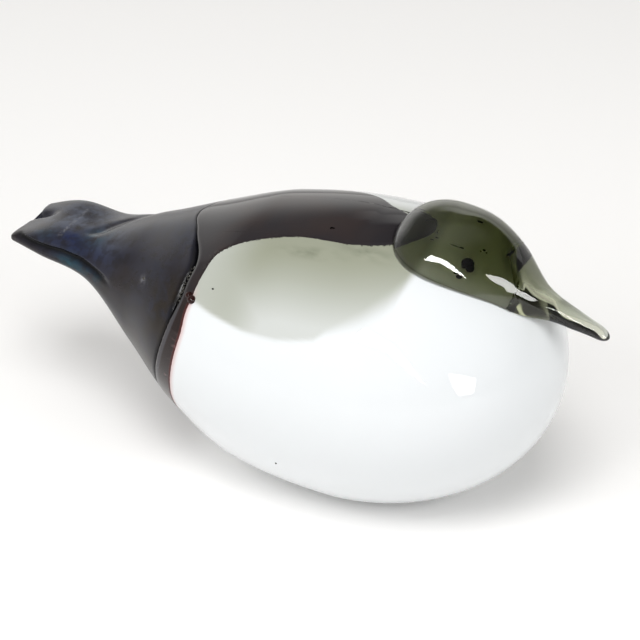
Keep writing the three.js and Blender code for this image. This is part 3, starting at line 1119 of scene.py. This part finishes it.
columns = np.linspace(0, 2 * np.pi, HEAD_COLUMNS, endpoint=False)
stations = HEAD_BACK + (BEAK_TIP - HEAD_BACK) * crowded(HEAD_ROWS, skip=FIRST_ROW)
along, angle = np.meshgrid(stations, columns, indexing="ij")
skin = head_skin(along, angle)
lowest = underside(skin)
height = skin[..., 2]
pushed = (height > LOWEST_PUSHED) & (height - lowest < PUSH_REACH)
skin[..., 2] = np.where(pushed, soft_max(height, lowest, BELLY_CORNER), height)
points, faces = closed_tube(skin)
head = add_object("Smoke-green_head", points, faces)
head.data.materials.append(smoke)
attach(head, "root")
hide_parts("head")
print("head:", len(faces), "faces, top at", round(float(points[:, 2].max()), 2))

# %% [markdown]
# ## Small flaws
#
# Clear glass shows everything that was caught in it. Here it is a stone the size of a peppercorn,
# a few flecks of ash and some scar lines along the old skin of the gather. They are matt and black,
# with no gloss, because glass lies against them on all sides. A few specks sit on the opal as well.

# %% Seal the flaws in
STONES = [
    (52.0, -8.0, 111.0, 2.4, 2.1, 1.7), (53.6, -9.6, 110.3, 1.6, 1.5, 1.3),
    (51.2, -9.6, 110.6, 1.0, 0.9, 0.8), (50.9, -6.9, 111.2, 0.7, 0.6, 0.5),
    (51.9, -14.9, 109.2, 1.3, 0.9, 0.7), (50.0, -14.0, 109.8, 0.8, 0.5, 0.4),
]
ASH_FLECKS = [
    (59.7, 7.7, 107.2, 0.5, 1.1, 0.4), (59.2, 6.8, 107.4, 0.3, 0.7, 0.3),
    (53.3, 1.5, 110.9, 0.6, 0.3, 0.3), (54.4, 1.2, 110.5, 0.4, 0.2, 0.2),
    (52.6, 0.4, 111.0, 0.4, 0.2, 0.2), (47.5, 9.0, 112.5, 0.9, 0.25, 0.2),
    (34.2, 0.5, 116.6, 1.0, 0.3, 0.3), (32.8, -0.8, 116.9, 0.6, 0.35, 0.3),
]
SCAR_LINES = [
    (45.5, -4.6, 113.6, 2.4, 0.22, 0.15), (47.6, -3.6, 113.0, 0.9, 0.3, 0.2),
    (38.0, -3.2, 115.5, 0.2, 0.9, 0.2), (38.8, -5.6, 115.2, 0.7, 0.2, 0.2),
    (37.6, -7.2, 115.2, 0.9, 0.2, 0.2),
]
SPECKS = [
    (-1.9, -14.7, 115.75, 1.0, 0.25, 0.25), (-2.6, -14.9, 115.6, 0.3, 0.5, 0.3),
    (-40.0, -41.6, 92.1, 0.5, 0.2, 0.4), (-5.9, -54.4, 29.5, 0.4, 0.2, 0.3),
]

ash = new_glass("Ash and stones", Base_Color=linear("#050504"), Roughness=0.8, Specular_IOR_Level=0.0)[0]
sealed = add_object("Stones_in_the_head", *beads(STONES + ASH_FLECKS + SCAR_LINES))
sealed.data.materials.append(ash)
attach(sealed, "root")
specks = add_object("Specks_on_the_skin", *beads(SPECKS))
specks.data.materials.append(ash)
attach(specks, "root")
print("flaws sealed in the head:", len(STONES + ASH_FLECKS + SCAR_LINES), "and specks:", len(SPECKS))

# %% [markdown]
# Where the hot tail was pressed on, air was trapped and boiled up into froth. It lies along the
# furrow and along the dark edge above it, and the broken bubbles give the eye a grey grain with
# sharp little glints. Angles, places and sizes are drawn at random, but from a fixed seed, so the
# froth is the same each time. One larger bubble sits by itself on the tail.

# %% Blow bubbles into the joint
IN_FURROW = (130, 147, 70)
FURROW_SPREAD = (-0.6, 2.4)
FURROW_SIZES = (0.15, 0.5)
FURROW_LIFT = -0.6
ON_EDGE = (103, 132, 110)
EDGE_SPREAD = (0.0, 3.0)
EDGE_WIDENS = (108, 126)
EDGE_SETBACK = 0.1
EDGE_SIZES = (0.10, 0.30)
SINGLE_BUBBLE = (-78.5, -30.3, 80.5, 0.9, 0.5, 0.8)
SEED = 7

froth = new_glass("Frothy glass", Base_Color=linear("#34322d"), Roughness=0.12)[0]
random = np.random.default_rng(SEED)
spots = []
for turn in np.radians(random.uniform(*IN_FURROW)):
    x = float(seam_on_skin(turn)) + random.uniform(*FURROW_SPREAD)
    size = random.uniform(*FURROW_SIZES)
    spots.append((*bubble_skin(np.array(x), np.array(turn), FURROW_LIFT), size, size, size))
for turn in np.radians(random.uniform(*ON_EDGE)):
    spread = random.uniform(*EDGE_SPREAD) * smoothstep(*EDGE_WIDENS, math.degrees(turn))
    x = float(dark_reach(turn)) - spread - EDGE_SETBACK
    size = random.uniform(*EDGE_SIZES)
    spots.append((*bubble_skin(np.array(x), np.array(turn)), size, size, size))
spots.append(SINGLE_BUBBLE)
bubbles = add_object("Bubbles_in_the_joint", *beads(spots))
bubbles.data.materials.append(froth)
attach(bubbles, "root")
print("bubbles:", len(spots))

# %% [markdown]
# ## The studio
#
# The bird stands on a sheet of white paper. Paper is matt and very slightly warm, and takes the
# soft shadow that ties the bird to the ground. It is far wider than the picture, but ends between
# bird and camera, below the picture's edge, so that the glass mirrors a darker room there.

# %% Make the floor
FLOOR = [(-600, -380, 0), (600, -380, 0), (1600, 1600, 0), (-1600, 1600, 0)]

paper = new_glass(
    "White paper", Base_Color=linear("#f6f5f4"), Roughness=0.9, IOR=1.45, Specular_IOR_Level=0.2
)[0]
floor = add_object("Paper_floor", FLOOR, [(0, 1, 2, 3)])
floor.data.materials.append(paper)
floor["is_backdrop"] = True
print("floor:", 2 * FLOOR[2][0], "mm wide at the back")

# %% [markdown]
# Glass shows its surroundings, so the room has to be built as light before any lamp is. It is a
# plain world shader that grows lighter and darker with direction alone. Four numbers describe a
# direction: how high it points, how far along the wall behind the bird, how far out of that wall,
# and how near it is to a bright spot on the right, which we call the doorway.

# %% Find directions in the room
VIEW_AZIMUTH = 28
FACING = math.radians(VIEW_AZIMUTH)
DOORWAY_AT = (105, 20)
SIDE = Vector((math.cos(FACING), math.sin(FACING), 0))
OUT = Vector((math.sin(FACING), -math.cos(FACING), 0))


def direction_to(azimuth, elevation):
    """A direction given in degrees: azimuth 0 is the near side and 90 the beak's side."""
    turn, rise = math.radians(azimuth), math.radians(elevation)
    level = math.cos(rise)
    return Vector((math.sin(turn) * level, -math.cos(turn) * level, math.sin(rise)))


world = bpy.data.worlds.new("Room")
bpy.context.scene.world = world
world.use_nodes = True
room = world.node_tree
looking = add_node(room, "TexCoord", output="Generated")
height = add_node(room, "SeparateXYZ", (looking,), "Z")
sideways, outwards, doorwards = (
    add_node(room, "VectorMath", (looking, toward), "Value", operation="DOT_PRODUCT")
    for toward in (SIDE, OUT, direction_to(*DOORWAY_AT))
)
print("the wall behind the bird runs along", [round(v, 2) for v in SIDE])

# %% [markdown]
# On the left stands a low white screen. It is what the tail and the side of the bird mirror, and
# its upper edge, which slopes, draws the line where their sheen ends.
#
# Each slope of brightness in the room is written as four numbers: the directions where it starts
# and ends, and its values before and after.

# %% Stand up the screen on the left
SCREEN_LEVEL = 0.3
SCREEN_TOP = (-0.87, -0.66, 0.29, 0.56)
SCREEN_EDGE = (-0.012, 0.012, 1.0, 0.0)
SCREEN_END = (-0.60, -0.40, 1.0, 0.0)

screen_top = add_node(room, "MapRange", (sideways, *SCREEN_TOP), **EASED)
above_screen = add_node(room, "Math", (height, screen_top), operation="SUBTRACT")
below_top = add_node(room, "MapRange", (above_screen, *SCREEN_EDGE), **EASED)
on_the_left = add_node(room, "MapRange", (sideways, *SCREEN_END), **EASED)
screen = add_node(room, "Math", (on_the_left, below_top), operation="MULTIPLY")
screen = add_node(room, "Math", (screen, SCREEN_LEVEL), operation="MULTIPLY")
print("brightness of the screen:", SCREEN_LEVEL)

# %% [markdown]
# Behind the bird is a pale wall. Its lower part is bright everywhere, its upper part only on the
# right, where skylight falls on it, and above its top edge it gives way to the ceiling. The
# brightness fades out to the far left and towards the camera.

# %% Paint the wall behind the bird
WALL_LEVEL = 0.9
WALL_TOP = (-0.30, 0.30, 0.62, 0.55)
WALL_EDGE = (-0.02, 0.05, 1.0, 0.0)
SKY_BOTTOM = (-0.25, 0.15, 0.50, 0.38)
SKY_EDGE = (-0.03, 0.03, 0.0, 1.0)
SKY_SIDE = (-0.15, 0.10, 0.0, 1.3)
LOW_LIGHT = (0.24, 0.60, 1.0, 0.0)
WALL_FRONT = (-0.05, 0.12, 1.0, 0.0)
WALL_LEFT = (-0.88, -0.60, 0.12, 1.0)

wall_top = add_node(room, "MapRange", (sideways, *WALL_TOP), **EASED)
above_wall = add_node(room, "Math", (height, wall_top), operation="SUBTRACT")
on_wall = add_node(room, "MapRange", (above_wall, *WALL_EDGE), **EASED)
sky_bottom = add_node(room, "MapRange", (sideways, *SKY_BOTTOM), **EASED)
above_bottom = add_node(room, "Math", (height, sky_bottom), operation="SUBTRACT")
high_up = add_node(room, "MapRange", (above_bottom, *SKY_EDGE), **EASED)
on_the_right = add_node(room, "MapRange", (sideways, *SKY_SIDE), **EASED)
skylight = add_node(room, "Math", (high_up, on_the_right), operation="MULTIPLY")
low_down = add_node(room, "MapRange", (height, *LOW_LIGHT), **EASED)
lit = add_node(room, "Math", (skylight, low_down), operation="MAXIMUM")
behind = add_node(room, "MapRange", (outwards, *WALL_FRONT), **EASED)
not_far_left = add_node(room, "MapRange", (sideways, *WALL_LEFT), **EASED)
wall = WALL_LEVEL
for share in (on_wall, lit, behind, not_far_left):
    wall = add_node(room, "Math", (wall, share), operation="MULTIPLY")
print("brightness of the wall:", WALL_LEVEL)

# %% [markdown]
# The ceiling is grey over the left half and dark over the right, with a lighter spot straight
# above. Together with the doorway it gives every form a top side. All parts are simply added up.

# %% Add ceiling and doorway and light the room
CEILING = (-0.3, 0.3, 0.42, 0.04)
OVERHEAD = (0.86, 0.97, 0.0, 0.3)
DOORWAY = (0.86, 0.97, 0.0, 0.25)

ceiling = add_node(room, "MapRange", (sideways, *CEILING), **EASED)
overhead = add_node(room, "MapRange", (height, *OVERHEAD), **EASED)
doorway = add_node(room, "MapRange", (doorwards, *DOORWAY), **EASED)
light = 0.0
for part in (screen, wall, ceiling, overhead, doorway):
    light = add_node(room, "Math", (light, part), operation="ADD")
room.links.new(light, room.nodes["Background"].inputs["Strength"])
room.nodes["Background"].inputs["Color"].default_value = linear("#fffefb")
print("nodes that make the room:", len(room.nodes))

# %% [markdown]
# Two bright panels stand upright in front of the bird, each cut to a leaf: the round glass bends
# their reflections into the two leaf-shaped highlights on the head. They light nothing matt, so
# the floor doesn't know about them and the opal shows them only in its gloss.

# %% Hang the two leaf-shaped lights
PANEL_DISTANCE = 1.5
LEFT_LEAF_LEVEL = 34.0
RIGHT_LEAF_LEVEL = 13.6
LEFT_LEAF = [
    (-1.38, 1.40), (-1.16, 1.90), (-0.50, 1.28), (-0.21, 0.82), (0.04, 0.30), (-0.26, 0.67), (-0.59, 1.08),
]
RIGHT_LEAF = [(0.44, 0.51), (0.66, 0.47), (1.0, 0.32), (0.90, -0.02), (0.60, -0.02), (0.49, 0.20)]


def light_panel(name, outline, radiance):
    """A glowing panel upright across the viewing direction, its outline given in metres."""
    glow = bpy.data.materials.new(name)
    glow.use_nodes = True
    tree = glow.node_tree
    shine = add_node(tree, "Emission", {"Color": linear("#ffffff"), "Strength": radiance})
    tree.links.new(shine, tree.nodes["Material Output"].inputs["Surface"])
    points = [(OUT * PANEL_DISTANCE + SIDE * u + Vector((0, 0, z))) / MM for u, z in outline]
    panel = add_object(name, points, [tuple(range(len(points)))])
    panel.data.materials.append(glow)
    panel.visible_diffuse = False
    panel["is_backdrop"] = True


light_panel("Left_light", LEFT_LEAF, LEFT_LEAF_LEVEL)
light_panel("Right_light", RIGHT_LEAF, RIGHT_LEAF_LEVEL)
print("corners of the two leaves:", len(LEFT_LEAF), "and", len(RIGHT_LEAF))

# %% [markdown]
# Three softboxes light what is matt: the paper and the milk of the opal. They are hidden from every
# reflection, because square highlights would spoil the ones above. The one on top does most, the
# one low on the right opens the shade on the breast.

# %% Set up the softboxes
SOFTBOXES = {
    "Left_softbox": (-25, 35, 1.7, 11.8),
    "Right_softbox": (72, 26, 1.6, 9.5),
    "Top_softbox": (18, 66, 1.9, 18),
}
SOFTBOX_SIZE = 1.0

for name, (azimuth, elevation, distance, watts) in SOFTBOXES.items():
    lamp = bpy.data.lights.new(name, "AREA")
    lamp.size = SOFTBOX_SIZE
    lamp.energy = watts
    place = bpy.data.objects.new(name, lamp)
    toward = direction_to(azimuth, elevation)
    place.location = toward * distance
    place.rotation_mode = "QUATERNION"
    place.rotation_quaternion = toward.to_track_quat("Z", "Y")
    place.visible_glossy = False
    place.visible_transmission = False
    place.visible_camera = False
    bpy.context.scene.collection.objects.link(place)
print("watts of soft light:", sum(box[3] for box in SOFTBOXES.values()))

# %% [markdown]
# ## The camera
#
# The camera stands a metre away and looks down at the near side, a little from the front. The focal
# length is given in pixels of the square picture, which is 640 wide, and a small shift of the lens
# places the bird off the middle without turning the camera.

# %% Set up the camera
TARGET = Vector((-0.010, 0.0, 0.060))
CAMERA_ELEVATION = 31
CAMERA_DISTANCE = 1.0
SENSOR = 36.0
PICTURE = 640
FOCAL_PIXELS = 2500
TARGET_PIXEL = (332.2, 330.1)

back = direction_to(VIEW_AZIMUTH, CAMERA_ELEVATION)
lens = bpy.data.cameras.new("Camera")
lens.sensor_width = SENSOR
lens.lens = SENSOR * FOCAL_PIXELS / PICTURE
lens.shift_x = (PICTURE / 2 - TARGET_PIXEL[0]) / PICTURE
lens.shift_y = (TARGET_PIXEL[1] - PICTURE / 2) / PICTURE
camera = bpy.data.objects.new("Camera", lens)
camera.location = TARGET + back * CAMERA_DISTANCE
camera.rotation_mode = "QUATERNION"
camera.rotation_quaternion = (-back).to_track_quat("-Z", "Y")
bpy.context.scene.collection.objects.link(camera)
bpy.context.scene.camera = camera
bpy.context.scene.view_settings.view_transform = "Standard"
print("focal length:", round(lens.lens, 1), "mm")

# %% [markdown]
# ## The sizes
#
# Last, the box that the dressed bird fills is written down.

# %% Write down the sizes and finish
low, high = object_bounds()
print("shown box in mm:", [round(v / MM, 1) for v in (*low, *high)])
